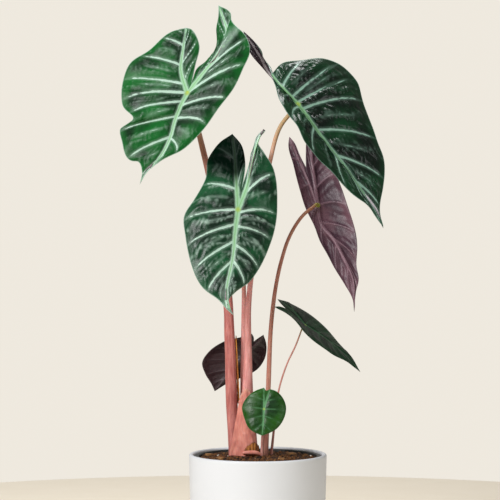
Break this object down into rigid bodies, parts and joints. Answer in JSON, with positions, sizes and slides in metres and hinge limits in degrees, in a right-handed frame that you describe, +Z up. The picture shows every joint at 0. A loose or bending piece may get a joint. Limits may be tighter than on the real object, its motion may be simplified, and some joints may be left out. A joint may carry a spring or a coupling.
{
  "type": "potted alocasia",
  "caption": "Alocasia houseplant with arrow-shaped veined leaves on tall pink petioles, in a nursery pot inside a plain white tapered cover pot.",
  "frame": {"origin": "centre of the cover pot's flat underside", "axes": "+Z up along the pot's axis, plant's front towards -Y, +X to the right as seen from the front"},
  "size_m": [0.27, 0.1568, 0.5933],
  "materials": {
    "leaf": "gloss",
    "leaf_under": "satin",
    "petiole": "satin",
    "sheath_fresh": "satin",
    "sheath_dry": "matte",
    "corm": "matte",
    "root": "matte",
    "soil": "matte",
    "bark": "matte",
    "nursery_plastic": "satin",
    "ceramic": "matte"
  },
  "bodies": {
    "root": {"blade_upper_left": "leaf", "blade_front": "leaf", "blade_upper_right": "leaf", "blade_right_hanging": "leaf_under", "blade_narrow": "leaf", "blade_round": "leaf", "blade_rear": "leaf_under", "petiole_upper_left": "petiole", "petiole_front": "petiole", "petiole_upper_right": "petiole", "petiole_right_hanging": "petiole", "petiole_narrow": "petiole", "petiole_round": "petiole", "petiole_rear": "petiole", "sheath_pink": "sheath_fresh", "sheath_dry": "sheath_dry", "sheath_collar": "sheath_dry", "aerial_root": "sheath_fresh", "corm": "corm", "root_1": "root", "root_2": "root", "root_3": "root", "root_4": "root", "root_5": "root", "potting_soil": "soil", "bark_chip_1": "bark", "bark_chip_2": "bark", "bark_chip_3": "bark", "bark_chip_4": "bark", "nursery_pot": "nursery_plastic", "cover_pot": "ceramic"}
  },
  "joints": []
}
